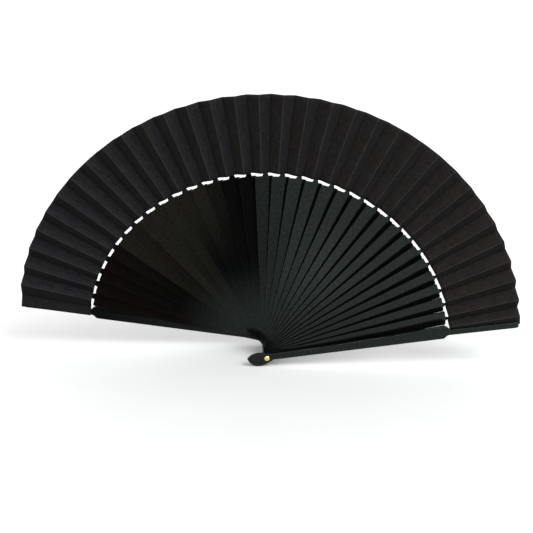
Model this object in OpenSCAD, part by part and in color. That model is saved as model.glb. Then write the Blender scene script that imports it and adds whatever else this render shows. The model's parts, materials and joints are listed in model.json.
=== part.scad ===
// Folding hand fan: lacquered wooden ribs between two guards, turning on one rivet, with a pleated leaf.
// The open fan stands in the XZ plane and faces -Y. The origin is on the rivet's axis, halfway through
// the stack of ribs. Angles are measured in that plane from +X towards +Z.

/* [Fan] */
// Distance from the rivet to the outer edge of the leaf
fan_radius = 210; // [190:1:230]
// Angle at which the rear guard points when the fan is open
rear_angle = 170.5; // [160:0.5:175]
// Angle between the rear guard and the first rib when the fan is open
rear_pitch = 7.35; // [4.4:0.05:8]
// Angle between one stick and the next when the fan is open
rib_pitch = 4.85; // [4.4:0.01:5.0]
// Distance from one rib to the next along the rivet
rib_step = 0.95; // [0.94:0.01:1.1]

/* [Ribs] */
// Number of ribs between the two guards, always even
rib_count = 32; // [30:2:32]
// Distance from the rivet to the ribs' shoulders, where the leaf's guides begin
shoulder_radius = 150; // [140:1:156]
// Width of a shoulder from a rib's middle line to the edge nearer the viewer
near_shoulder_w = 8.2; // [7.5:0.1:8.4]
// Width of a shoulder from that line to the edge farther from the viewer
far_shoulder_w = 6.2; // [5.6:0.1:6.4]
// Width of a rib beside the rivet
neck_w = 6.8; // [6:0.1:7]
// Thickness of a rib's blade
rib_t = 0.8; // [0.6:0.05:0.8]
// Radius of a rib's round head
head_r = 3.6; // [3.5:0.1:4]
// Angle by which a blade has twisted at its shoulder
shoulder_twist = 12; // [6:1:12]
// Width of the guide that carries the leaf
guide_w = 4.2; // [3:0.1:4.4]
// Thickness of that guide
guide_t = 0.45; // [0.3:0.05:0.5]

/* [Guards] */
// Thickness of a guard
guard_t = 2.4; // [2:0.1:3]
// Angle by which a guard leans away from the ribs, to leave room for the folded leaf
guard_flare = 0.8; // [0.75:0.05:1]
// Distance from the rivet to a guard's outer end
guard_length = 208; // [188:1:228]
// Length of a guard's tail beyond the rivet
tail_length = 16.3; // [15:0.1:18]

/* [Leaf] */
// Distance from the rivet to the inner edge of the leaf
leaf_inner = 152.1; // [151:0.1:158]
// Height of a fold above or below the middle of its panel, for each mm from the rivet
fold_slope = 0.0115; // [0.008:0.0005:0.012]
// Thickness of the leaf
leaf_t = 0.2; // [0.15:0.01:0.2]

/* [Rivet] */
// Radius of the rivet's shank
shank_r = 1.25; // [1:0.05:1.5]
// Clearance between the shank and the holes that turn on it
bore_gap = 0.06; // [0.03:0.01:0.09]
// Radius of a rivet head
rivet_head_r = 2.3; // [2:0.1:2.6]
// Height of a rivet head's dome
dome_h = 1.1; // [0.8:0.1:1.4]

/* [Hidden] */
$fn = 64;
slack = 0.07;
rim_h = 0.35;
head_t = rib_step - slack;
bore_r = shank_r + bore_gap;
front_index = rib_count + 1;
leaf_count = rib_count / 2 + 1;
half_stack = (rib_count - 1) / 2 * rib_step;
guard_inner_y = half_stack + head_t / 2 + slack;
flare_start = -6;
rivet_base_y = guard_inner_y + guard_t / cos(guard_flare)
    + (rivet_head_r - flare_start) * tan(guard_flare) + slack / 2;
fold_angle = rib_pitch / 4;
leaf_tilt = atan(fold_slope / sin(fold_angle));
leaf_offset = (guide_t / 2) / cos(leaf_tilt) + slack + leaf_t / 2;
seam_angle = 0.04;
rear_fold_angle = 2.8;
rear_edge_angle = 0.4;
front_fold_angle = 2;
twist_start = 8;
shoulder_start = shoulder_radius - 2;
guide_start = leaf_inner - 0.3;
guide_end = fan_radius - 6;
blade_steps = 7;

function two_digits(i) = str(i < 10 ? "0" : "", i);
function rib_name(i) = str("rib_", two_digits(i));
function leaf_name(i) = str("leaf_", two_digits(i));

// Place of stick i: 0 is the rear guard, front_index the front guard, and the ribs lie between.
function stick_angle(i) = i == 0 ? rear_angle : rear_angle - rear_pitch - rib_pitch * (i - 1);
function stick_y(i) = half_stack - rib_step * (i - 1);

// Joins rings of four corners into one closed solid. The corners run counter-clockwise, seen
// from the end that the rings advance towards.
module loft(rings) {
    n = len(rings);
    sides = [
        for (i = [0:n - 2], j = [0:3])
            let (k = (j + 1) % 4, a = 4 * i, b = 4 * (i + 1))
                each [[a + j, b + j, b + k], [a + j, b + k, a + k]]
    ];
    last = 4 * (n - 1);
    caps = [[0, 1, 2, 3], [last + 3, last + 2, last + 1, last]];
    polyhedron(points = [for (ring = rings) each ring], faces = concat(sides, caps), convexity = 4);
}

// A blade's width from its middle line to the near edge and to the far one.
function blade_widths(share) = [
    neck_w / 2 + (near_shoulder_w - neck_w / 2) * share,
    neck_w / 2 + (far_shoulder_w - neck_w / 2) * share
];

// The four corners of a rib's cross-section, turned about the rib's own length. The widths run from
// its middle line to the near edge and to the far one.
function rib_ring(r, widths, t, twist) = [
    for (corner = [[widths[0], -1], [-widths[1], -1], [-widths[1], 1], [widths[0], 1]])
        let (s = corner[0], n = corner[1] * t / 2)
            [r, n * cos(twist) - s * sin(twist), s * cos(twist) + n * sin(twist)]
];

// The same width on both sides of the middle line.
function both(w) = [w, w];

function rib_rings() = concat(
    [rib_ring(1.5, both(neck_w / 2 - 0.2), rib_t, 0)],
    [
        for (k = [0:blade_steps])
            let (share = k / blade_steps)
                rib_ring(
                    twist_start + (shoulder_start - twist_start) * share,
                    blade_widths(share), rib_t, shoulder_twist * share
                )
    ],
    [
        rib_ring(shoulder_radius - 0.6, blade_widths(1) - both(0.3), rib_t, shoulder_twist),
        rib_ring(shoulder_radius, blade_widths(1) - both(1.2), rib_t, shoulder_twist),
        rib_ring(shoulder_radius + 0.3, both(guide_w / 2 + 0.4), guide_t, shoulder_twist + 1),
        rib_ring(guide_start, both(guide_w / 2), guide_t, leaf_tilt),
        rib_ring(guide_end - 2, both(guide_w / 2 - 0.5), guide_t, leaf_tilt),
        rib_ring(guide_end, both(guide_w / 2 - 1.4), guide_t, leaf_tilt)
    ]
);

module along_y(h, r) {
    rotate([90, 0, 0]) cylinder(h = h, r = r, center = true);
}

// One rib: a twisted blade with a round drilled head at the rivet and a narrow guide for the leaf.
module rib(i) {
    color([0.03, 0.03, 0.035])
        translate([0, stick_y(i), 0])
            rotate([0, -stick_angle(i), 0])
                difference() {
                    union() {
                        along_y(head_t, head_r);
                        loft(rib_rings());
                    }
                    along_y(2 * rib_step, bore_r);
                }
}

// A point on the cubic curve with control points p, at t from 0 to 1.
function curve(p, t) =
    pow(1 - t, 3) * p[0] + 3 * pow(1 - t, 2) * t * p[1] + 3 * (1 - t) * t * t * p[2] + pow(t, 3) * p[3];

function tail_top() = [[8, 3.4], [-1, 3.2], [-0.52 * tail_length, 8.2], [-tail_length, 1.4]];
function tail_bottom() = [[-tail_length, 1.4], [-0.83 * tail_length, -8.2], [-5, -8.6], [5.2, -2.3]];

// A guard's outline, along its length and across it: a leg that widens away from the rivet, a
// shoulder on both sides where the leaf begins, a slim end and a pointed oval tail.
function guard_outline() = concat(
    [
        [shoulder_radius - 3.5, -3.4],
        [shoulder_radius - 2.2, -2.7],
        [shoulder_radius - 0.6, -1.1],
        [shoulder_radius + 1, -0.6],
        [guard_length - 2, -2],
        [guard_length - 0.6, -1.6],
        [guard_length, -0.6],
        [guard_length, 2],
        [guard_length - 0.6, 2.9],
        [guard_length - 2, 3.2],
        [shoulder_radius + 2, 4.3],
        [shoulder_radius, 6.8],
        [shoulder_radius - 2.5, 8.4],
        [0.7 * shoulder_radius, 5.6],
        [0.56 * shoulder_radius, 5.2],
        [0.44 * shoulder_radius, 4.3],
        [0.28 * shoulder_radius, 3.6]
    ],
    [for (k = [0:14]) curve(tail_top(), k / 14)],
    [for (k = [1:14]) curve(tail_bottom(), k / 14)]
);

module guard() {
    difference() {
        translate([flare_start, -guard_inner_y, 0])
            rotate([0, 0, -guard_flare])
                translate([-flare_start, 0, 0])
                    rotate([90, 0, 0])
                        linear_extrude(height = guard_t) polygon(guard_outline());
        along_y(4 * guard_inner_y, bore_r);
    }
}

module front_guard() {
    color([0.04, 0.045, 0.045]) rotate([0, -stick_angle(front_index), 0]) guard();
}

module rear_guard() {
    color([0.03, 0.03, 0.035]) rotate([0, -stick_angle(0), 0]) rotate([180, 0, 0]) guard();
}

module rivet_shank() {
    color([0.8, 0.62, 0.25]) along_y(2 * rivet_base_y, shank_r);
}

// A rivet head facing -Y: a flat rim under a shallow dome.
module rivet_head() {
    dome_r = (rivet_head_r * rivet_head_r + dome_h * dome_h) / (2 * dome_h);
    color([0.85, 0.66, 0.28])
        rotate([90, 0, 0])
            translate([0, 0, rivet_base_y])
                union() {
                    cylinder(h = rim_h, r = rivet_head_r);
                    intersection() {
                        translate([0, 0, rim_h + dome_h - dome_r]) sphere(r = dome_r);
                        translate([0, 0, rim_h / 2]) cylinder(h = dome_h + rim_h, r = rivet_head_r);
                    }
                }
}

module rivet_front_head() {
    rivet_head();
}

module rivet_rear_head() {
    rotate([180, 0, 0]) rivet_head();
}

// The leaf's inner and outer points on a line at the given angle, which rises by slope for each mm
// from the rivet, starting at y. They run counter-clockwise, seen from larger angles.
function leaf_ring(angle, y, slope) = [
    for (corner = [[leaf_inner, -1], [fan_radius, -1], [fan_radius, 1], [leaf_inner, 1]])
        let (r = corner[0])
            [r * cos(angle), y + slope * r + corner[1] * leaf_t / 2, r * sin(angle)]
];

// The three lines across stick i's own panel: its far fold, its middle and its near fold.
function far_fold(i) = leaf_ring(stick_angle(i) - fold_angle, stick_y(i) - leaf_offset, fold_slope);
function near_fold(i) = leaf_ring(stick_angle(i) + fold_angle, stick_y(i) - leaf_offset, -fold_slope);
function middle(i, seam) =
    leaf_ring(stick_angle(i) + seam, stick_y(i) - leaf_offset, -fold_slope * seam / fold_angle);

// The panel of a guard lies on the guard's inner face.
function guard_lean() = tan(guard_flare);
function rear_face_y() = guard_inner_y - flare_start * guard_lean() - leaf_t;
function rear_end(seam) = leaf_ring(stick_angle(0) + seam, rear_face_y(), guard_lean());
function front_end(seam) = leaf_ring(stick_angle(front_index) + seam, -rear_face_y(), -guard_lean());

// One section of the pleated leaf. Section i is glued to rib 2i - 1 and reaches to the middles of the
// sticks beside it. The last one is glued to the front guard.
module leaf(i) {
    k = 2 * i - 1;
    rings = i == leaf_count
        ? [front_end(0), front_end(front_fold_angle), far_fold(k - 1), middle(k - 1, -seam_angle)]
        : concat(
            [middle(k + 1, seam_angle), near_fold(k + 1), far_fold(k), near_fold(k)],
            i == 1
                ? [rear_end(-rear_fold_angle), rear_end(rear_edge_angle)]
                : [far_fold(k - 1), middle(k - 1, -seam_angle)]
        );
    color([0.05, 0.05, 0.055]) loft(rings);
}

rear_guard();
front_guard();
rivet_shank();
rivet_front_head();
rivet_rear_head();
for (i = [1:rib_count]) {
    rib(i);
}
for (i = [1:leaf_count]) {
    leaf(i);
}
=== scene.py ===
"""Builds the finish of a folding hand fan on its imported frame: lacquered ribs and guards, a brass
rivet and a pleated cloth leaf, with a plain studio round them. Everything is in metres. The open fan
stands in the XZ plane and faces -Y, and the rivet's axis is the Y axis."""

import json
import math

import bmesh
import bpy
from bpy.props import FloatProperty, FloatVectorProperty, PointerProperty
from mathutils import Matrix, Vector
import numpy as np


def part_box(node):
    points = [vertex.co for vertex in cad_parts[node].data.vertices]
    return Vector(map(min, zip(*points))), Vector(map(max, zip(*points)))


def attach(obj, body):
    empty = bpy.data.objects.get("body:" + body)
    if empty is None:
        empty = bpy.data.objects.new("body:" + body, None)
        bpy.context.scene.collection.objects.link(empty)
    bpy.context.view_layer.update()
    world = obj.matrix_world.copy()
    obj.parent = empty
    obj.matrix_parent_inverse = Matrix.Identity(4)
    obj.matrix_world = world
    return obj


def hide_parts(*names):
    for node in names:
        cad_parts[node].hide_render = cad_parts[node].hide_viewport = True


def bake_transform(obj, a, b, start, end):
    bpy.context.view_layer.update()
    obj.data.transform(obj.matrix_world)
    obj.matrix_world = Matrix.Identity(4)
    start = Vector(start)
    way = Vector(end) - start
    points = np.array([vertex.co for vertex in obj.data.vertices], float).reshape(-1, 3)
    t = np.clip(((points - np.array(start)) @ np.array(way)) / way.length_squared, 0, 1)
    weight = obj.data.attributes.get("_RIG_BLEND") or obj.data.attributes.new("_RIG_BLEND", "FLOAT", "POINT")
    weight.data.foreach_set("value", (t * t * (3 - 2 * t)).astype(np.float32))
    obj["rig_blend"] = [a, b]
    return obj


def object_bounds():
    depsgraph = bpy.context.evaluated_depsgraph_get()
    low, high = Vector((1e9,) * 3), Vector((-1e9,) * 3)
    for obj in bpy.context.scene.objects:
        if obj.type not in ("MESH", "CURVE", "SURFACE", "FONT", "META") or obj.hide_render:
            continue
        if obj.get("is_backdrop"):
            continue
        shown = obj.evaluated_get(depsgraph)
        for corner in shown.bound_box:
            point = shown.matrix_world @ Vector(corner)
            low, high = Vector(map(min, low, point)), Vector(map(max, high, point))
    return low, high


bl_info = {
    "name": "Folding Hand Fan",
    "version": (1, 0, 0),
    "blender": (4, 5, 0),
    "location": "3D View > Sidebar > Hand Fan",
    "description": "Ribs, guards, rivet and pleated leaf of a folding hand fan, with a plain studio",
    "category": "Object",
}

MM = 0.001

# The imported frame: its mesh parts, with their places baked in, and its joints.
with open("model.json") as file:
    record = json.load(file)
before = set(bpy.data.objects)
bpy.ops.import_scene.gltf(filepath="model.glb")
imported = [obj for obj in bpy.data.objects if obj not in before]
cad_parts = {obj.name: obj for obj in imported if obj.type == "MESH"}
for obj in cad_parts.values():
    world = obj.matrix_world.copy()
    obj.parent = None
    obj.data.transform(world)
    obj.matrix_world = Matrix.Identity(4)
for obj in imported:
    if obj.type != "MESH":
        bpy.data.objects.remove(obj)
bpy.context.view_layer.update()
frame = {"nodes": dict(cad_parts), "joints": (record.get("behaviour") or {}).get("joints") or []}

# The sticks from the rear guard to the front one. A joint's upper limit is the angle between the two
# sticks that it joins, because the fan rests open and folds shut.
RIBS = sorted(name for name in frame["nodes"] if name.startswith("rib_"))
STICKS = ["rear_guard", *RIBS, "front_guard"]
PITCHES = [joint["range_deg"][1] for joint in sorted(frame["joints"], key=lambda j: j["name"])]

# The rear guard's angle from +X towards +Z.
REAR_ANGLE = math.radians(170.5)

# A guard's inner face: its distance from the middle of the stack, the place along the guard where it
# starts to lean away from the stack, and the slope by which it leans.
GUARD_INNER_Y = 15.235 * MM
LEAN_START = -6 * MM
GUARD_LEAN = math.tan(math.radians(0.8))

# A rib's blade: where it starts inside the head, where it starts to widen and twist, and how far
# before the shoulder it stops doing so.
BLADE_START = 2.6 * MM
TWIST_START = 8 * MM
SHOULDER_FLAT = 2 * MM

# A rib's guide: the length over which it turns to the fold's tilt, how much wider it is at its root on
# either side, the length of its rounded tip, and how much narrower that ends on either side.
GUIDE_TURN = 1.8 * MM
GUIDE_FLARE = 0.4 * MM
GUIDE_TIP = 2 * MM
GUIDE_TIP_CUT = 1.4 * MM

# The stations where a rib's section is set: how many are spaced along the blade and along the guide,
# how far past the shoulder the guide's start, the angles of those round the shoulder's corner, and the
# steps of the rest, past the shoulder and back from the guide's end.
BLADE_STATIONS = 26
GUIDE_STATIONS = 7
GUIDE_ROOT = 6 * MM
CORNER_ANGLES = (25, 45, 62, 76, 90)
ROOT_STEPS = (0.06 * MM, 0.6 * MM, 1.2 * MM, GUIDE_TURN)
TIP_STEPS = (1.2 * MM, 0.5 * MM, 0)

# The rivet's heads: the height of the rim, the small cut round its base, and the dome's width as a
# share of the rim's.
HEAD_RIM = 0.35 * MM
HEAD_CUT = 0.08 * MM
DOME_SHARE = 0.985

# The leaf's folds beside a rib: their angle from its middle line, the slope by which they leave it
# along Y, and the tilt that the two give its guide.
FOLD_ANGLE = math.radians(PITCHES[1]) / 4
FOLD_SLOPE = 0.0115
FOLD_TILT = math.atan(FOLD_SLOPE / math.sin(FOLD_ANGLE))

# The leaf on the guards: the angles of its folds and of its rear edge from a guard's middle, and its
# distance from the guard's inner face.
REAR_FOLD_ANGLE = math.radians(2.8)
REAR_EDGE_ANGLE = math.radians(0.4)
FRONT_FOLD_ANGLE = math.radians(2)
GLUE_GAP = 0.2 * MM

# A pleat's grid: the columns in its first, middle and last panel, and the rows. Its folds stray a
# little, and the stretch that bends between two sticks reaches a little past them.
PANEL_COLUMNS = (4, 8, 4)
PLEAT_ROWS = 20
FOLD_STRAY = 0.1 * MM
BLEND_MARGIN = 1.5 * MM

# How far painted shade darkens the glued panels at the front and the free panels at the rear, where they face
# away from the light, and how fast it leaves the free ones.
GLUED_PANEL_SHADE = 0.35
FREE_PANEL_SHADE = 0.7
FREE_PANEL_SHADE_FALL = 1.6

# How far the grain is moved on from one rib to the next, and from one guard to the other.
GRAIN_SHIFT = 0.37
GUARD_GRAIN_SHIFT = 3.1

# How far a rib's place on the painted reflection drifts from its neighbours', and where along a stick its
# painted reflection changes: from all of the inward colour to none, and from all of the neck's colour to none.
REFLECTION_PLACE_DRIFT = 0.03
INWARD_FADE = (75 * MM, 145 * MM)
NECK_FADE = (20 * MM, 85 * MM)

# What a sine moves on by, in radians, so that neighbours differ: the painted reflection's place from rib to
# rib, and the stray's from pleat to pleat and from line to line.
REFLECTION_PLACE_STEP = 2.4
PLEAT_STEP = 2.3
LINE_STEP = 1.9

# Vertices closer than this are one.
MERGE = 0.001 * MM

# The studio: the floor's radius and its distance below the fan, the place and the colour of the
# light, the colour of the room, and the width of the camera's sensor in millimetres.
FLOOR_RADIUS = 150.0
FLOOR_GAP = 0.2 * MM
KEY_PLACE = (0.55, -0.28, 0.8)
KEY_COLOUR = (0.97, 0.99, 1.0)
ROOM_COLOUR = (1.0, 1.0, 1.0, 1.0)
SENSOR_WIDTH = 36.0


def stick_angle(i):
    """Angle of stick i from +X towards +Z, 0 being the rear guard."""
    return REAR_ANGLE - math.radians(sum(PITCHES[:i]))


def stick_y(i):
    """Middle of rib i along the rivet."""
    low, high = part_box(STICKS[i])
    return (low.y + high.y) / 2


class FanSizes(bpy.types.PropertyGroup):
    """Sizes of the fan's own parts."""

    shoulder_radius: FloatProperty(
        name="Shoulder Radius",
        description="Distance from the rivet to the ribs' shoulders",
        default=150 * MM,
        unit="LENGTH",
    )
    near_shoulder: FloatProperty(
        name="Near Shoulder",
        description="Width of a shoulder from a rib's middle line to the edge nearer the viewer",
        default=8.2 * MM,
        unit="LENGTH",
    )
    far_shoulder: FloatProperty(
        name="Far Shoulder",
        description="Width of a shoulder from that line to the edge farther from the viewer",
        default=6.2 * MM,
        unit="LENGTH",
    )
    neck_width: FloatProperty(
        name="Neck Width",
        description="Width of a rib beside the rivet",
        default=6.8 * MM,
        unit="LENGTH",
    )
    rib_thickness: FloatProperty(
        name="Rib Thickness",
        description="Thickness of a rib's blade",
        default=0.8 * MM,
        unit="LENGTH",
    )
    shoulder_twist: FloatProperty(
        name="Shoulder Twist",
        description="Angle by which a blade has twisted at its shoulder",
        default=math.radians(12),
        subtype="ANGLE",
    )
    shoulder_corner: FloatProperty(
        name="Shoulder Corner",
        description="Radius of the corners of a rib's shoulder",
        default=1.4 * MM,
        unit="LENGTH",
    )
    head_radius: FloatProperty(
        name="Head Radius",
        description="Radius of a rib's round head",
        default=3.6 * MM,
        unit="LENGTH",
    )
    head_thickness: FloatProperty(
        name="Head Thickness",
        description="Thickness of a rib's head along the rivet",
        default=0.88 * MM,
        unit="LENGTH",
    )
    bore_radius: FloatProperty(
        name="Bore Radius",
        description="Radius of the hole that turns on the rivet",
        default=1.31 * MM,
        unit="LENGTH",
    )
    guide_width: FloatProperty(
        name="Guide Width",
        description="Width of the slim guide behind the leaf",
        default=4.2 * MM,
        unit="LENGTH",
    )
    guide_thickness: FloatProperty(
        name="Guide Thickness",
        description="Thickness of that guide",
        default=0.45 * MM,
        unit="LENGTH",
    )
    guide_end: FloatProperty(
        name="Guide End",
        description="Distance from the rivet to the end of the guides",
        default=204 * MM,
        unit="LENGTH",
    )
    rib_edge: FloatProperty(
        name="Rib Edge",
        description="Size of the rounding along a rib's edges",
        default=0.12 * MM,
        unit="LENGTH",
    )
    guard_edge: FloatProperty(
        name="Guard Edge",
        description="Size of the rounding round a guard's outline",
        default=0.35 * MM,
        unit="LENGTH",
    )
    leaf_inner: FloatProperty(
        name="Leaf Inner Radius",
        description="Distance from the rivet to the inner edge of the leaf",
        default=152.1 * MM,
        unit="LENGTH",
    )
    leaf_outer: FloatProperty(
        name="Leaf Outer Radius",
        description="Distance from the rivet to the outer edge of the leaf",
        default=210 * MM,
        unit="LENGTH",
    )
    leaf_gap: FloatProperty(
        name="Leaf Gap",
        description="Distance along the rivet from the middle of a guide to the cloth before it",
        default=0.426 * MM,
        unit="LENGTH",
    )
    cloth_thickness: FloatProperty(
        name="Cloth Thickness",
        description="Thickness of the leaf's cloth",
        default=0.12 * MM,
        unit="LENGTH",
    )
    fold_round: FloatProperty(
        name="Fold Rounding",
        description="Size of the rounding along a fold",
        default=0.28 * MM,
        unit="LENGTH",
    )


class FanFinishes(bpy.types.PropertyGroup):
    """Colours of the fan's finishes. A lacquer's colour is that of its shine, and is a painted reflection: it
    stands in for the light that the sticks mirror, which changes across the fan and along each stick. The two
    cloths' colours carry painted cool and warm light.
    """

    # A painted reflection: the plum that the ribs next to the rear guard mirror.
    plum_reflection: FloatVectorProperty(
        name="Plum Lacquer",
        description="Lacquer on the ribs next to the rear guard",
        default=(0.075, 0.03, 0.032),
        subtype="COLOR",
    )
    # A painted reflection: the olive that the ribs of the rear half mirror.
    olive_reflection: FloatVectorProperty(
        name="Olive Lacquer",
        description="Lacquer on the ribs of the rear half",
        default=(0.29, 0.27, 0.2),
        subtype="COLOR",
    )
    # A painted reflection: the near black that the ribs in the middle mirror where they face shade.
    jet_reflection: FloatVectorProperty(
        name="Jet Lacquer",
        description="Lacquer on the ribs in the middle",
        default=(0.018, 0.02, 0.02),
        subtype="COLOR",
    )
    # A painted reflection: the teal that the ribs of the front half and the guards mirror.
    teal_reflection: FloatVectorProperty(
        name="Teal Lacquer",
        description="Lacquer on the ribs of the front half and on the guards",
        default=(0.5, 0.62, 0.56),
        subtype="COLOR",
    )
    # A painted highlight: the bright teal that the ribs of the front half mirror halfway along.
    teal_highlight: FloatVectorProperty(
        name="Bright Teal Lacquer",
        description="Lacquer halfway along the ribs of the front half",
        default=(0.84, 1.0, 0.96),
        subtype="COLOR",
    )
    # Painted light: the cloth tinted bluish on the glued panels, standing in for the cool light on them.
    cool_lit_glued_cloth: FloatVectorProperty(
        name="Glued Cloth",
        description="Cloth where it is glued to a guide",
        default=(0.0125, 0.0125, 0.0142),
        subtype="COLOR",
    )
    # Painted light: the cloth tinted brownish on the free panels, standing in for the warm light on them.
    warm_lit_free_cloth: FloatVectorProperty(
        name="Free Cloth",
        description="Cloth between two guides",
        default=(0.0135, 0.012, 0.0108),
        subtype="COLOR",
    )
    brass: FloatVectorProperty(
        name="Brass",
        description="The rivet's polished brass",
        default=(0.83, 0.6, 0.22),
        subtype="COLOR",
    )


class StudioSettings(bpy.types.PropertyGroup):
    """The camera and the lights."""

    lens: FloatProperty(
        name="Lens",
        description="Focal length of the camera in millimetres, on a sensor 36 mm wide",
        default=40.3,
    )
    camera_distance: FloatProperty(
        name="Camera Distance",
        description="Distance from the camera to the point that it looks at",
        default=0.481,
        unit="LENGTH",
    )
    camera_azimuth: FloatProperty(
        name="Camera Azimuth",
        description="Angle by which the camera stands round towards +X",
        default=math.radians(-2.27),
        subtype="ANGLE",
    )
    camera_elevation: FloatProperty(
        name="Camera Elevation",
        description="Angle by which the camera looks down",
        default=math.radians(23.52),
        subtype="ANGLE",
    )
    camera_roll: FloatProperty(
        name="Camera Roll",
        description="Angle by which the camera is turned about its own axis",
        default=math.radians(0.22),
        subtype="ANGLE",
    )
    aim_height: FloatProperty(
        name="Aim Height",
        description="Height above the rivet of the point that the camera looks at",
        default=75.3 * MM,
        unit="LENGTH",
    )
    key: FloatProperty(
        name="Key",
        description="Strength of the soft light from the upper right",
        default=3.3,
    )
    key_softness: FloatProperty(
        name="Key Softness",
        description="Angle across that light",
        default=math.radians(30),
        subtype="ANGLE",
    )
    horizon: FloatProperty(
        name="Horizon",
        description="Brightness of the room at eye level",
        default=1.02,
    )
    zenith: FloatProperty(
        name="Zenith",
        description="Brightness of the room overhead",
        default=2.4,
    )


# Materials

# The shades that the finishes' own colours are mixed with.
LACQUER_BASE = (0.0008, 0.001, 0.001)
LACQUER_GRAIN = (0.0018, 0.0019, 0.0016)
RUBBED_EDGE = (0.02, 0.021, 0.02)
NO_SHINE = (0.0, 0.0, 0.0)
# Painted shade on the pleats' panels that face away from the light.
CLOTH_PAINTED_SHADE = (0.002, 0.002, 0.002)
CLOTH_SHADE = (0.0015, 0.0015, 0.0015)
CLOTH_FADED = (0.014, 0.014, 0.0145)
CLOTH_THREAD = (0.016, 0.0155, 0.0155)
CLOTH_CREASE = (0.03, 0.029, 0.028)
BRASS_TARNISH = (0.45, 0.28, 0.08)
FLOOR_DARK = (0.4, 0.4, 0.4)
FLOOR_PALE = (0.42, 0.42, 0.42)

THREADS_PER_METRE = 1150


def link(tree, source, target):
    """Joins two sockets."""
    tree.links.new(target, source)


def add_node(tree, kind, **values):
    """A new node, with its properties set from the keywords."""
    node = tree.nodes.new(kind)
    for name, value in values.items():
        setattr(node, name, value)
    return node


def new_material(name):
    """An empty node material: the material, its tree and its surface shader."""
    material = bpy.data.materials.new(name)
    material.use_nodes = True
    tree = material.node_tree
    tree.nodes.clear()
    output = add_node(tree, "ShaderNodeOutputMaterial")
    shader = add_node(tree, "ShaderNodeBsdfPrincipled")
    link(tree, shader.outputs["BSDF"], output.inputs["Surface"])
    return material, tree, shader


def scaled_uv(tree, layer, scale):
    """The piece's own UV map in metres, multiplied by scale."""
    uv = add_node(tree, "ShaderNodeUVMap", uv_map=layer)
    mapping = add_node(tree, "ShaderNodeMapping")
    mapping.inputs["Scale"].default_value = scale
    link(tree, uv.outputs["UV"], mapping.inputs["Vector"])
    return mapping.outputs["Vector"]


def noise(tree, vector, scale, detail=4.0):
    """Noise from 0 to 1 at a place."""
    node = add_node(tree, "ShaderNodeTexNoise")
    node.inputs["Scale"].default_value = scale
    node.inputs["Detail"].default_value = detail
    node.inputs["Roughness"].default_value = 0.55
    link(tree, vector, node.inputs["Vector"])
    return node.outputs["Fac"]


def uv_noise(tree, layer, u_cells, v_cells, detail=4.0):
    """Noise on a piece's own UV map, with so many cells to the metre along U and along V."""
    return noise(tree, scaled_uv(tree, layer, (u_cells, v_cells, 1)), 1.0, detail)


def remap(tree, value, old, new):
    """Value, taken from the range old to the range new and kept inside it."""
    node = add_node(tree, "ShaderNodeMapRange")
    for name, number in zip(("From Min", "From Max", "To Min", "To Max"), (*old, *new)):
        node.inputs[name].default_value = number
    link(tree, value, node.inputs["Value"])
    return node.outputs["Result"]


def math_node(tree, operation, first, second=None):
    """A sum on one or two values, each a socket or a number."""
    node = add_node(tree, "ShaderNodeMath", operation=operation)
    for socket, value in zip(node.inputs, (first, second)):
        if isinstance(value, bpy.types.NodeSocket):
            link(tree, value, socket)
        elif value is not None:
            socket.default_value = value
    return node.outputs["Value"]


def mix_colours(tree, factor, first, second):
    """A colour between two, each a socket or a colour."""
    node = add_node(tree, "ShaderNodeMix", data_type="RGBA")
    link(tree, factor, node.inputs["Factor"])
    # A Mix node has an A, a B and a Result for each kind of data. These are the colours'.
    first_input, second_input, result = node.inputs[6], node.inputs[7], node.outputs[2]
    for socket, value in ((first_input, first), (second_input, second)):
        if isinstance(value, bpy.types.NodeSocket):
            link(tree, value, socket)
        else:
            socket.default_value = (*value[:3], 1.0)
    return result


def bump(tree, height, distance, under=None):
    """A bumped normal, on top of another one where there is one."""
    node = add_node(tree, "ShaderNodeBump")
    node.inputs["Strength"].default_value = 1.0
    node.inputs["Distance"].default_value = distance
    link(tree, height, node.inputs["Height"])
    if under is not None:
        link(tree, under, node.inputs["Normal"])
    return node.outputs["Normal"]


def carried_value(tree, name):
    """A number that a piece's faces or vertices carry."""
    return add_node(tree, "ShaderNodeAttribute", attribute_name=name).outputs["Fac"]


def painted_reflection_ramp(tree, shades):
    """A painted reflection's colour that follows the faces' place across the fan. Each colour comes with the
    place where it is reached.
    """
    ramp = add_node(tree, "ShaderNodeValToRGB")
    while len(ramp.color_ramp.elements) < len(shades):
        ramp.color_ramp.elements.new(1.0)
    for element, (place, colour) in zip(ramp.color_ramp.elements, shades):
        element.position = place
        element.color = (*colour, 1.0)
    link(tree, carried_value(tree, "reflection_place"), ramp.inputs["Fac"])
    return ramp.outputs["Color"]


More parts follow.
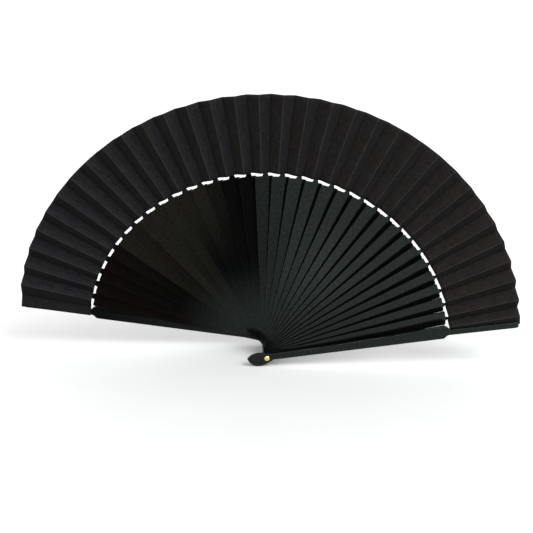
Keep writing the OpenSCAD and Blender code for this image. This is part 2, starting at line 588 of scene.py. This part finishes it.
def lacquer(name, outer_reflections, inner_reflections, neck_reflection, roughness):
    """Satin black lacquer over fine wood grain, rubbed lighter along the edges. Its shine is a painted
    reflection, whose colour goes from the outer shades at the shoulder through the inner ones to the neck's
    shade at the rivet, and its roughness keeps to a range."""
    material, tree, shader = new_material(name)
    # The painted reflection: its colour across the fan, and along each stick from the shoulder inward to the
    # neck.
    outer = painted_reflection_ramp(tree, outer_reflections)
    inner = painted_reflection_ramp(tree, inner_reflections)
    blade = mix_colours(tree, carried_value(tree, "inward"), outer, inner)
    stick = mix_colours(tree, carried_value(tree, "neck"), blade, neck_reflection)

    streaks = uv_noise(tree, "length_uv", 40, 1400)
    clouds = uv_noise(tree, "length_uv", 60, 160, detail=2.0)
    peel = uv_noise(tree, "length_uv", 420, 1000, detail=3.0)
    grain = remap(tree, streaks, (0.35, 0.7), (0.0, 1.0))
    shade = mix_colours(tree, grain, LACQUER_BASE, LACQUER_GRAIN)
    wear = carried_value(tree, "edge_wear")
    rubbed = math_node(tree, "MULTIPLY", wear, remap(tree, clouds, (0.45, 0.6), (0.1, 0.8)))
    link(tree, mix_colours(tree, rubbed, shade, RUBBED_EDGE), shader.inputs["Base Color"])
    dulled = remap(tree, peel, (0.38, 0.62), (0.0, 0.5))
    # The painted reflection goes into the shine's tint, dulled at random by the orange peel.
    link(tree, mix_colours(tree, dulled, stick, NO_SHINE), shader.inputs["Specular Tint"])
    link(tree, remap(tree, clouds, (0.3, 0.7), roughness), shader.inputs["Roughness"])
    under = bump(tree, peel, distance=0.03 * MM)
    link(tree, bump(tree, streaks, distance=0.03 * MM, under=under), shader.inputs["Normal"])
    shader.inputs["IOR"].default_value = 1.5
    return material


def rib_lacquer(finishes):
    """The ribs' lacquer, whose shine carries painted reflections that run from plum through olive and jet to
    teal, with a painted bright teal highlight halfway along the ribs of the front half.
    """
    # Painted reflections at the shoulder, by the rib's place across the fan.
    outer = [
        (0.0, finishes.plum_reflection),
        (0.1, finishes.plum_reflection),
        (0.2, finishes.olive_reflection),
        (0.34, finishes.olive_reflection),
        (0.41, finishes.jet_reflection),
        (0.46, finishes.jet_reflection),
        (0.53, finishes.teal_reflection),
    ]
    # Painted reflections further in: mostly jet on the rear half, and teal with a painted bright teal
    # highlight on the front half.
    inner = [
        (0.0, finishes.plum_reflection),
        (0.12, finishes.jet_reflection),
        (0.24, finishes.olive_reflection),
        (0.3, finishes.jet_reflection),
        (0.46, finishes.jet_reflection),
        (0.54, finishes.teal_reflection),
        (0.7, finishes.teal_highlight),
        (0.9, finishes.teal_reflection),
    ]
    return lacquer("rib_lacquer", outer, inner, finishes.teal_reflection, (0.12, 0.22))


def guard_lacquer(finishes):
    """The guards' lacquer, whose shine carries a painted reflection: jet at the rear and teal at the front."""
    shades = [(0.0, finishes.jet_reflection), (1.0, finishes.teal_reflection)]
    return lacquer("guard_lacquer", shades, shades, finishes.teal_reflection, (0.2, 0.34))


def leaf_cloth(finishes):
    """Matt black cloth in plain weave, with painted light: bluish where it is glued and brownish where it is
    free, for cool and warm light, and painted shade on the panels that face away from the light. It is lighter
    along the near folds.
    """
    material, tree, shader = new_material("leaf_cloth")
    turns = add_node(tree, "ShaderNodeSeparateXYZ")
    link(tree, scaled_uv(tree, "cloth_uv", (THREADS_PER_METRE * math.pi,) * 3), turns.inputs["Vector"])
    warp = math_node(tree, "SINE", turns.outputs["X"])
    weft = math_node(tree, "SINE", turns.outputs["Y"])
    weave = remap(tree, math_node(tree, "MULTIPLY", warp, weft), (-1.0, 1.0), (0.0, 1.0))
    warp_slubs = uv_noise(tree, "cloth_uv", 1700, 170, detail=3.0)
    weft_slubs = uv_noise(tree, "cloth_uv", 170, 1700, detail=3.0)
    slubs = math_node(tree, "MULTIPLY", math_node(tree, "ADD", warp_slubs, weft_slubs), 0.5)
    patches = uv_noise(tree, "cloth_uv", 45, 45, detail=3.0)

    free_panel = carried_value(tree, "free_panel")
    # Painted light: the glued and free panels tinted for the cool and warm light on them.
    plain = mix_colours(tree, free_panel, finishes.cool_lit_glued_cloth, finishes.warm_lit_free_cloth)
    # Painted shade on the panels that face away from the light.
    panel_shaded = mix_colours(tree, carried_value(tree, "painted_panel_shade"), plain, CLOTH_PAINTED_SHADE)
    shaded = mix_colours(tree, remap(tree, slubs, (0.4, 0.6), (0.0, 0.85)), panel_shaded, CLOTH_SHADE)
    faded = mix_colours(tree, remap(tree, patches, (0.45, 0.75), (0.0, 0.2)), shaded, CLOTH_FADED)
    threads = mix_colours(tree, math_node(tree, "MULTIPLY", weave, 0.3), faded, CLOTH_THREAD)
    near_fold = carried_value(tree, "near_fold")
    crease = math_node(tree, "MULTIPLY", near_fold, remap(tree, slubs, (0.3, 0.6), (0.9, 0.4)))
    link(tree, mix_colours(tree, crease, threads, CLOTH_CREASE), shader.inputs["Base Color"])
    link(tree, remap(tree, slubs, (0.3, 0.7), (0.78, 0.95)), shader.inputs["Roughness"])
    under = bump(tree, weave, distance=0.05 * MM)
    link(tree, bump(tree, slubs, distance=0.3 * MM, under=under), shader.inputs["Normal"])
    shader.inputs["Specular IOR Level"].default_value = 0.03
    shader.inputs["Sheen Weight"].default_value = 0.006
    shader.inputs["Sheen Roughness"].default_value = 0.5
    return material


def rivet_brass(finishes):
    """Polished brass with fine scratches and a little tarnish."""
    material, tree, shader = new_material("rivet_brass")
    place = add_node(tree, "ShaderNodeTexCoord").outputs["Object"]
    tarnish = noise(tree, place, 700.0)
    scratches = noise(tree, place, 5000.0, detail=2.0)
    worn = remap(tree, tarnish, (0.5, 0.75), (0.0, 0.5))
    link(tree, mix_colours(tree, worn, finishes.brass, BRASS_TARNISH), shader.inputs["Base Color"])
    link(tree, remap(tree, tarnish, (0.35, 0.7), (0.14, 0.3)), shader.inputs["Roughness"])
    link(tree, bump(tree, scratches, distance=0.004 * MM), shader.inputs["Normal"])
    shader.inputs["Metallic"].default_value = 1.0
    return material


def floor_paint():
    """Pale matt paint, with the faintest mottling."""
    material, tree, shader = new_material("floor_paint")
    place = add_node(tree, "ShaderNodeTexCoord").outputs["Object"]
    mottling = noise(tree, place, 12.0)
    link(tree, mix_colours(tree, mottling, FLOOR_DARK, FLOOR_PALE), shader.inputs["Base Color"])
    shader.inputs["Roughness"].default_value = 0.8
    return material


# Meshes


def faces_carry(bm, name, faces, value):
    """Sets a number on these faces, which already carry one under this name."""
    layer = bm.faces.layers.float[name]
    for face in faces:
        face[layer] = value


def all_faces_carry(bm, name, value):
    """Sets a number on every face, under a name that is new to them."""
    layer = bm.faces.layers.float.new(name)
    for face in bm.faces:
        face[layer] = value


def lay_length_uv(bm, angle, shift):
    """A UV map in metres that runs along a stick and across it, moved on by shift."""
    along = Vector((math.cos(angle), 0, math.sin(angle)))
    across = Vector((-math.sin(angle), 0, math.cos(angle)))
    layer = bm.loops.layers.uv.new("length_uv")
    for face in bm.faces:
        for loop in face.loops:
            place = loop.vert.co
            loop[layer].uv = (place.dot(along) + shift, place.dot(across) + place.y + shift)


def new_piece(bm, name, material):
    """A finished mesh object from a bmesh, smooth but for its sharp edges."""
    mesh = bpy.data.meshes.new(name)
    bm.to_mesh(mesh)
    bm.free()
    mesh.shade_smooth()
    mesh.set_sharp_from_angle(angle=math.radians(40))
    mesh.materials.append(material)
    piece = bpy.data.objects.new(name, mesh)
    bpy.context.scene.collection.objects.link(piece)
    return piece


def even_normals(piece):
    """Keeps the broad faces flat to the light beside their rounded edges."""
    modifier = piece.modifiers.new("even_normals", "WEIGHTED_NORMAL")
    modifier.keep_sharp = True
    modifier.weight = 80


def spaced(first, last, count):
    """Count numbers from first to last, evenly spaced."""
    return [first + (last - first) * k / (count - 1) for k in range(count)]


def eased(t):
    """A smooth step from 0 to 1."""
    t = min(max(t, 0.0), 1.0)
    return t * t * (3 - 2 * t)


def blade_section(r, sizes):
    """A rib's section at distance r from the rivet: its widths from the middle line to the near
    edge and to the far one, its thickness and its twist."""
    growth_end = sizes.shoulder_radius - SHOULDER_FLAT
    grown = min(max((r - TWIST_START) / (growth_end - TWIST_START), 0.0), 1.0)
    if r <= sizes.shoulder_radius:
        corner = sizes.shoulder_corner
        past = max(r - (sizes.shoulder_radius - corner), 0.0)
        cut = corner - math.sqrt(max(corner * corner - past * past, 0.0))
        neck = sizes.neck_width / 2
        near = neck + (sizes.near_shoulder - neck) * grown - cut
        far = neck + (sizes.far_shoulder - neck) * grown - cut
        return near, far, sizes.rib_thickness, sizes.shoulder_twist * grown
    turned = eased((r - sizes.shoulder_radius) / GUIDE_TURN)
    twist = sizes.shoulder_twist + (FOLD_TILT - sizes.shoulder_twist) * turned
    tip = max(r - (sizes.guide_end - GUIDE_TIP), 0.0) / GUIDE_TIP
    half = sizes.guide_width / 2 - GUIDE_TIP_CUT * tip * tip + GUIDE_FLARE * (1 - turned)
    return half, half, sizes.guide_thickness, twist


def rib_stations(sizes):
    """The distances from the rivet where a rib's section is set, from the first to the last."""
    shoulder = sizes.shoulder_radius
    corner = sizes.shoulder_corner
    stations = spaced(BLADE_START, shoulder - corner, BLADE_STATIONS)
    stations += [shoulder - corner * (1 - math.sin(math.radians(a))) for a in CORNER_ANGLES]
    stations += [shoulder + step for step in ROOT_STEPS]
    stations += spaced(shoulder + GUIDE_ROOT, sizes.guide_end - GUIDE_TIP, GUIDE_STATIONS)
    stations += [sizes.guide_end - step for step in TIP_STEPS]
    return stations


def rib_shape(sizes):
    """One rib along +X, made from a bar that is cut into stations, tapered and twisted, and a
    drilled round head."""
    stations = rib_stations(sizes)
    first, last = stations[0], stations[-1]
    bm = bmesh.new()
    bmesh.ops.create_cube(bm, size=1.0)
    bmesh.ops.scale(bm, vec=(last - first, 1, 1), verts=bm.verts)
    bmesh.ops.translate(bm, vec=((first + last) / 2, 0, 0), verts=bm.verts)
    for station in stations[1:-1]:
        everything = [*bm.verts, *bm.edges, *bm.faces]
        cut = Vector((station, 0, 0))
        bmesh.ops.bisect_plane(bm, geom=everything, dist=MERGE / 10, plane_co=cut, plane_no=(1, 0, 0))
    for vert in bm.verts:
        near, far, thickness, twist = blade_section(vert.co.x, sizes)
        across = near if vert.co.z > 0 else -far
        deep = vert.co.y * thickness
        vert.co.y = deep * math.cos(twist) - across * math.sin(twist)
        vert.co.z = across * math.cos(twist) + deep * math.sin(twist)
    all_faces_carry(bm, "edge_wear", 0.0)
    long_edges = [e for e in bm.edges if abs((e.verts[0].co - e.verts[1].co).normalized().x) > 0.7]
    made = bmesh.ops.bevel(
        bm, geom=long_edges, offset=sizes.rib_edge, segments=2, profile=0.5, affect="EDGES", material=-1
    )
    faces_carry(bm, "edge_wear", made["faces"], 1.0)
    add_rib_head(bm, sizes)
    bmesh.ops.recalc_face_normals(bm, faces=bm.faces)
    return bm


def add_rib_head(bm, sizes):
    """Adds a rib's head, a drilled disc across the rivet's axis."""
    half = sizes.head_thickness / 2
    turn = Matrix.Rotation(math.radians(90), 4, "X")
    rings = []
    for radius in (sizes.bore_radius, sizes.head_radius):
        made = bmesh.ops.create_circle(
            bm, cap_ends=False, radius=radius, segments=48, matrix=Matrix.Translation((0, half, 0)) @ turn
        )
        rings += {edge for vert in made["verts"] for edge in vert.link_edges}
    washer = bmesh.ops.bridge_loops(bm, edges=rings)["faces"]
    raised = bmesh.ops.extrude_face_region(bm, geom=washer)["geom"]
    lifted = [item for item in raised if isinstance(item, bmesh.types.BMVert)]
    bmesh.ops.translate(bm, vec=(0, -2 * half, 0), verts=lifted)


def place_rib(shape, i, material):
    """Rib i in its place in the open fan, with grain and its own place on the painted reflection."""
    bm = shape.copy()
    bmesh.ops.rotate(bm, cent=(0, 0, 0), matrix=Matrix.Rotation(-stick_angle(i), 3, "Y"), verts=bm.verts)
    lay_length_uv(bm, stick_angle(i), GRAIN_SHIFT * i)
    bmesh.ops.translate(bm, vec=(0, stick_y(i), 0), verts=bm.verts)
    # The rib's place across the fan, which picks its painted reflection.
    all_faces_carry(bm, "reflection_place", (i - 1) / (len(RIBS) - 1) + REFLECTION_PLACE_DRIFT * math.sin(REFLECTION_PLACE_STEP * i))
    mark_length(bm)
    piece = new_piece(bm, f"stick_{i:02d}", material)
    even_normals(piece)
    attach(piece, STICKS[i])
    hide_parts(STICKS[i])


def mark_length(bm):
    """Marks how far each vertex lies inward from a stick's shoulder, and how near to the rivet: these steer
    the painted reflection along the stick.
    """
    inward = bm.verts.layers.float.new("inward")
    neck = bm.verts.layers.float.new("neck")
    for vert in bm.verts:
        r = math.hypot(vert.co.x, vert.co.z)
        for layer, (full, none) in ((inward, INWARD_FADE), (neck, NECK_FADE)):
            vert[layer] = 1.0 - eased((r - full) / (none - full))


def place_guard(name, angle, reflection_place, sizes, material):
    """A guard with rounded edges, from a merged copy of its own node."""
    bm = bmesh.new()
    bm.from_mesh(frame["nodes"][name].data)
    bmesh.ops.remove_doubles(bm, verts=bm.verts, dist=MERGE)
    bmesh.ops.dissolve_limit(bm, angle_limit=math.radians(0.5), verts=bm.verts, edges=bm.edges)
    # The guard's place on the painted reflection: 0 at the rear, 1 at the front.
    all_faces_carry(bm, "reflection_place", reflection_place)
    all_faces_carry(bm, "edge_wear", 0.0)
    rim = [edge for edge in bm.edges if on_guard_rim(edge, sizes)]
    made = bmesh.ops.bevel(
        bm, geom=rim, offset=sizes.guard_edge, segments=3, profile=0.5, affect="EDGES", material=-1
    )
    faces_carry(bm, "edge_wear", made["faces"], 1.0)
    mark_length(bm)
    lay_length_uv(bm, angle, GUARD_GRAIN_SHIFT * (1 + reflection_place))
    piece = new_piece(bm, f"{name}_body", material)
    even_normals(piece)
    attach(piece, name)
    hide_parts(name)


def on_guard_rim(edge, sizes):
    """Whether a sharp edge runs round a guard's outline, and not round its bore or through its
    thickness."""
    if edge.calc_face_angle() <= math.radians(60):
        return False
    if max(math.hypot(vert.co.x, vert.co.z) for vert in edge.verts) <= 1.5 * sizes.bore_radius:
        return False
    run = edge.verts[0].co - edge.verts[1].co
    return abs(run.y) <= run.length / 2


def rivet_head_shape(name):
    """A domed rivet head in its node's place, spun from half of its profile."""
    low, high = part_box(name)
    facing = -1 if high.y < 0 else 1
    base, top = (high.y, low.y) if facing < 0 else (low.y, high.y)
    radius = (high.x - low.x) / 2
    rim = base + facing * HEAD_RIM
    profile = [(0.0, base), (radius - HEAD_CUT, base), (radius, base + facing * HEAD_CUT), (radius, rim)]
    for turned in map(math.radians, range(10, 90, 10)):
        profile.append((DOME_SHARE * radius * math.cos(turned), rim + (top - rim) * math.sin(turned)))
    profile.append((0.0, top))
    bm = bmesh.new()
    verts = [bm.verts.new((across, y, 0)) for across, y in profile]
    edges = [bm.edges.new(pair) for pair in zip(verts, verts[1:])]
    half_section = [*verts, *edges]
    bmesh.ops.spin(
        bm, geom=half_section, cent=(0, 0, 0), axis=(0, 1, 0), angle=2 * math.pi, steps=48, use_merge=True
    )
    bmesh.ops.remove_doubles(bm, verts=bm.verts, dist=MERGE)
    bmesh.ops.recalc_face_normals(bm, faces=bm.faces)
    return bm


# The leaf. A line across it is an angle, a height y along the rivet at the rivet's axis, and a slope
# by which it rises along Y for each metre from the axis.


def middle_line(i, sizes):
    """The line down the middle of rib i's own panel."""
    return stick_angle(i), stick_y(i) - sizes.leaf_gap, 0.0


def far_line(i, sizes):
    """The fold of rib i's panel that lies away from the viewer."""
    return stick_angle(i) - FOLD_ANGLE, stick_y(i) - sizes.leaf_gap, FOLD_SLOPE


def near_line(i, sizes):
    """The fold of rib i's panel that lies towards the viewer."""
    return stick_angle(i) + FOLD_ANGLE, stick_y(i) - sizes.leaf_gap, -FOLD_SLOPE


def guard_line(i, turned):
    """A line on the inner face of guard i, turned from its middle."""
    side = 1 if i == 0 else -1
    face = GUARD_INNER_Y - LEAN_START * GUARD_LEAN - GLUE_GAP
    return stick_angle(i) + turned, side * face, side * GUARD_LEAN


def pleat_lines(i, sizes):
    """The four lines of the pleat from stick i to stick i + 1."""
    last = len(STICKS) - 1
    if i == 0:
        start = [guard_line(0, REAR_EDGE_ANGLE), guard_line(0, -REAR_FOLD_ANGLE)]
    else:
        start = [middle_line(i, sizes), far_line(i, sizes)]
    if i + 1 == last:
        end = [guard_line(last, FRONT_FOLD_ANGLE), guard_line(last, 0.0)]
    else:
        end = [near_line(i + 1, sizes), middle_line(i + 1, sizes)]
    return start + end


def line_point(line, r):
    """The point on a line at distance r from the rivet's axis."""
    angle, y, slope = line
    return Vector((r * math.cos(angle), y + slope * r, r * math.sin(angle)))


def flat_angles(lines, sizes):
    """The angles between neighbouring lines in the flat cloth."""
    r = sizes.leaf_outer
    return [(line_point(a, r) - line_point(b, r)).length / r for a, b in zip(lines, lines[1:])]


def uneven(i, which, out):
    """How far fold i strays along the rivet at share out of the way to the outer edge."""
    return FOLD_STRAY * out * math.sin(PLEAT_STEP * i + LINE_STEP * which)


def pleat_shape(i, sizes, flat_start):
    """The pleat from stick i to stick i + 1: a grid laid over its four lines, with rounded folds."""
    lines = pleat_lines(i, sizes)
    shares = flat_angles(lines, sizes)
    columns = sum(PANEL_COLUMNS)
    far_column = PANEL_COLUMNS[0]
    near_column = far_column + PANEL_COLUMNS[1]
    bm = bmesh.new()
    uv = bm.loops.layers.uv.new("cloth_uv")
    made = bmesh.ops.create_grid(bm, x_segments=columns, y_segments=PLEAT_ROWS, size=0.5, calc_uvs=False)
    place = {}
    for vert in made["verts"]:
        column = round((vert.co.x + 0.5) * columns)
        out = vert.co.y + 0.5
        panel = 0 if column <= far_column else 1 if column < near_column else 2
        share = (column - sum(PANEL_COLUMNS[:panel])) / PANEL_COLUMNS[panel]
        place[vert] = (column, out, panel, share)
    for vert, (column, out, panel, share) in place.items():
        r = sizes.leaf_inner + (sizes.leaf_outer - sizes.leaf_inner) * out
        a = line_point(lines[panel], r)
        b = line_point(lines[panel + 1], r)
        a.y += uneven(i, panel, out) if panel else 0.0
        b.y += uneven(i, panel + 1, out) if panel < 2 else 0.0
        vert.co = a.lerp(b, share)
    for face in bm.faces:
        for loop in face.loops:
            column, out, panel, share = place[loop.vert]
            turned = flat_start + sum(shares[:panel]) + shares[panel] * share
            r = sizes.leaf_inner + (sizes.leaf_outer - sizes.leaf_inner) * out
            loop[uv].uv = (r * math.sin(turned), r * math.cos(turned))
    all_faces_carry(bm, "free_panel", 0.0)
    all_faces_carry(bm, "near_fold", 0.0)
    # Painted shade: the glued panels darker towards the front and the free ones towards the rear, where they
    # face away from the light.
    all_faces_carry(bm, "painted_panel_shade", GLUED_PANEL_SHADE * i / len(RIBS))
    free = [f for f in bm.faces if all(far_column <= place[v][0] <= near_column for v in f.verts)]
    faces_carry(bm, "free_panel", free, 1.0)
    faces_carry(bm, "painted_panel_shade", free, FREE_PANEL_SHADE * max(1 - FREE_PANEL_SHADE_FALL * i / len(RIBS), 0.0))
    far_fold = [e for e in bm.edges if all(place[v][0] == far_column for v in e.verts)]
    near_fold = [e for e in bm.edges if all(place[v][0] == near_column for v in e.verts)]
    for fold, mark in ((far_fold, 0.0), (near_fold, 1.0)):
        rounded = bmesh.ops.bevel(
            bm, geom=fold, offset=sizes.fold_round, segments=3, profile=0.5, affect="EDGES", material=-1
        )
        faces_carry(bm, "near_fold", rounded["faces"], mark)
    return bm


def place_pleat(i, sizes, flat_start, material):
    """Pleat i, which folds between the two sticks that it joins."""
    bm = pleat_shape(i, sizes, flat_start)
    piece = new_piece(bm, f"pleat_{i:02d}", material)
    solid = piece.modifiers.new("cloth_thickness", "SOLIDIFY")
    solid.thickness = sizes.cloth_thickness
    solid.offset = 0.0
    half_turn = (stick_angle(i) + stick_angle(i + 1)) / 2
    lines = pleat_lines(i, sizes)
    start, end = (line_point(line, sizes.leaf_inner) for line in lines[1:3])
    across = Vector((math.sin(half_turn), 0, -math.cos(half_turn)))
    centre = (start + end) / 2
    reach = abs((end - start).dot(across)) / 2 + BLEND_MARGIN
    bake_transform(piece, STICKS[i], STICKS[i + 1], start=centre - across * reach, end=centre + across * reach)
    return piece


# Operators


class FAN_OT_ribs(bpy.types.Operator):
    """Builds the lacquered ribs"""

    bl_idname = "fan.ribs"
    bl_label = "Ribs"

    def execute(self, context):
        sizes = context.scene.fan_sizes
        material = rib_lacquer(context.scene.fan_finishes)
        shape = rib_shape(sizes)
        for i in range(1, len(STICKS) - 1):
            place_rib(shape, i, material)
        shape.free()
        return {"FINISHED"}


class FAN_OT_guards(bpy.types.Operator):
    """Builds the two guards"""

    bl_idname = "fan.guards"
    bl_label = "Guards"

    def execute(self, context):
        sizes = context.scene.fan_sizes
        material = guard_lacquer(context.scene.fan_finishes)
        # The numbers 0 and 1 set each guard's place on the painted reflection: jet at the rear, teal at the
        # front.
        place_guard("rear_guard", stick_angle(0), 0.0, sizes, material)
        place_guard("front_guard", stick_angle(len(STICKS) - 1), 1.0, sizes, material)
        return {"FINISHED"}


class FAN_OT_rivet(bpy.types.Operator):
    """Builds the rivet's domed heads and finishes its shank"""

    bl_idname = "fan.rivet"
    bl_label = "Rivet"

    def execute(self, context):
        material = rivet_brass(context.scene.fan_finishes)
        for name in ("rivet_front_head", "rivet_rear_head"):
            piece = new_piece(rivet_head_shape(name), f"{name}_dome", material)
            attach(piece, "rear_guard")
            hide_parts(name)
        shank = frame["nodes"]["rivet_shank"].data
        shank.materials.clear()
        shank.materials.append(material)
        return {"FINISHED"}


class FAN_OT_leaf(bpy.types.Operator):
    """Builds the pleated leaf"""

    bl_idname = "fan.leaf"
    bl_label = "Leaf"

    def execute(self, context):
        sizes = context.scene.fan_sizes
        material = leaf_cloth(context.scene.fan_finishes)
        flat_start = 0.0
        pleats = []
        for i in range(len(STICKS) - 1):
            pleats.append(place_pleat(i, sizes, flat_start, material))
            flat_start += sum(flat_angles(pleat_lines(i, sizes), sizes))
        sections = sorted(name for name in frame["nodes"] if name.startswith("leaf_"))
        for k, section in enumerate(sections):
            for pleat in pleats[2 * k : 2 * k + 2]:
                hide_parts(section)
        return {"FINISHED"}


class FAN_OT_stage(bpy.types.Operator):
    """Builds the floor, the lights and the camera"""

    bl_idname = "fan.stage"
    bl_label = "Stage"

    def execute(self, context):
        studio = context.scene.fan_studio
        lay_floor(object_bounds()[0].z - FLOOR_GAP)
        hang_key(studio)
        light_room(context.scene, studio)
        stand_camera(context.scene, studio)
        return {"FINISHED"}


def lay_floor(height):
    """A wide pale floor."""
    bm = bmesh.new()
    bmesh.ops.create_circle(bm, cap_ends=True, radius=FLOOR_RADIUS, segments=96)
    bmesh.ops.translate(bm, vec=(0, 0, height), verts=bm.verts)
    new_piece(bm, "floor", floor_paint())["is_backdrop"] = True


def hang_key(studio):
    """One broad soft light, high up and to the right of the fan."""
    data = bpy.data.lights.new("key", "SUN")
    data.energy = studio.key
    data.angle = studio.key_softness
    data.color = KEY_COLOUR
    lamp = bpy.data.objects.new("key", data)
    lamp.location = KEY_PLACE
    lamp.rotation_euler = (-lamp.location).to_track_quat("-Z", "Y").to_euler()
    bpy.context.scene.collection.objects.link(lamp)


def light_room(scene, studio):
    """A pale room that grows brighter overhead."""
    scene.world = bpy.data.worlds.new("room")
    scene.world.use_nodes = True
    tree = scene.world.node_tree
    direction = add_node(tree, "ShaderNodeSeparateXYZ")
    link(tree, add_node(tree, "ShaderNodeTexCoord").outputs["Generated"], direction.inputs["Vector"])
    brightness = remap(tree, direction.outputs["Z"], (0.0, 1.0), (studio.horizon, studio.zenith))
    background = tree.nodes["Background"]
    background.inputs["Color"].default_value = ROOM_COLOUR
    link(tree, brightness, background.inputs["Strength"])


def stand_camera(scene, studio):
    """The camera before the fan, and a plain view of its picture."""
    data = bpy.data.cameras.new("camera")
    data.lens = studio.lens
    data.sensor_width = SENSOR_WIDTH
    data.clip_start = 0.01
    camera = bpy.data.objects.new("camera", data)
    azimuth, elevation = studio.camera_azimuth, studio.camera_elevation
    back = Vector(
        (
            math.sin(azimuth) * math.cos(elevation),
            -math.cos(azimuth) * math.cos(elevation),
            math.sin(elevation),
        )
    )
    camera.location = Vector((0, 0, studio.aim_height)) + back * studio.camera_distance
    turned = (-back).to_track_quat("-Z", "Y").to_matrix() @ Matrix.Rotation(studio.camera_roll, 3, "Z")
    camera.rotation_euler = turned.to_euler()
    scene.collection.objects.link(camera)
    scene.camera = camera
    scene.view_settings.view_transform = "Standard"


class FAN_PT_panel(bpy.types.Panel):
    """Lists the fan's builders and their settings"""

    bl_idname = "FAN_PT_panel"
    bl_label = "Hand Fan"
    bl_space_type = "VIEW_3D"
    bl_region_type = "UI"
    bl_category = "Hand Fan"

    def draw(self, context):
        for operator in OPERATORS:
            self.layout.operator(operator.bl_idname)
        for group in (context.scene.fan_sizes, context.scene.fan_finishes, context.scene.fan_studio):
            box = self.layout.box()
            for name in group.bl_rna.properties.keys():
                if name not in ("rna_type", "name"):
                    box.prop(group, name)


OPERATORS = (FAN_OT_ribs, FAN_OT_guards, FAN_OT_rivet, FAN_OT_leaf, FAN_OT_stage)
CLASSES = (FanSizes, FanFinishes, StudioSettings, *OPERATORS, FAN_PT_panel)


def register():
    for cls in CLASSES:
        bpy.utils.register_class(cls)
    bpy.types.Scene.fan_sizes = PointerProperty(type=FanSizes)
    bpy.types.Scene.fan_finishes = PointerProperty(type=FanFinishes)
    bpy.types.Scene.fan_studio = PointerProperty(type=StudioSettings)


def unregister():
    del bpy.types.Scene.fan_studio
    del bpy.types.Scene.fan_finishes
    del bpy.types.Scene.fan_sizes
    for cls in reversed(CLASSES):
        bpy.utils.unregister_class(cls)


def main():
    """Builds everything in order."""
    register()
    bpy.ops.fan.ribs()
    bpy.ops.fan.guards()
    bpy.ops.fan.rivet()
    bpy.ops.fan.leaf()
    bpy.ops.fan.stage()


if __name__ == "__main__":
    main()
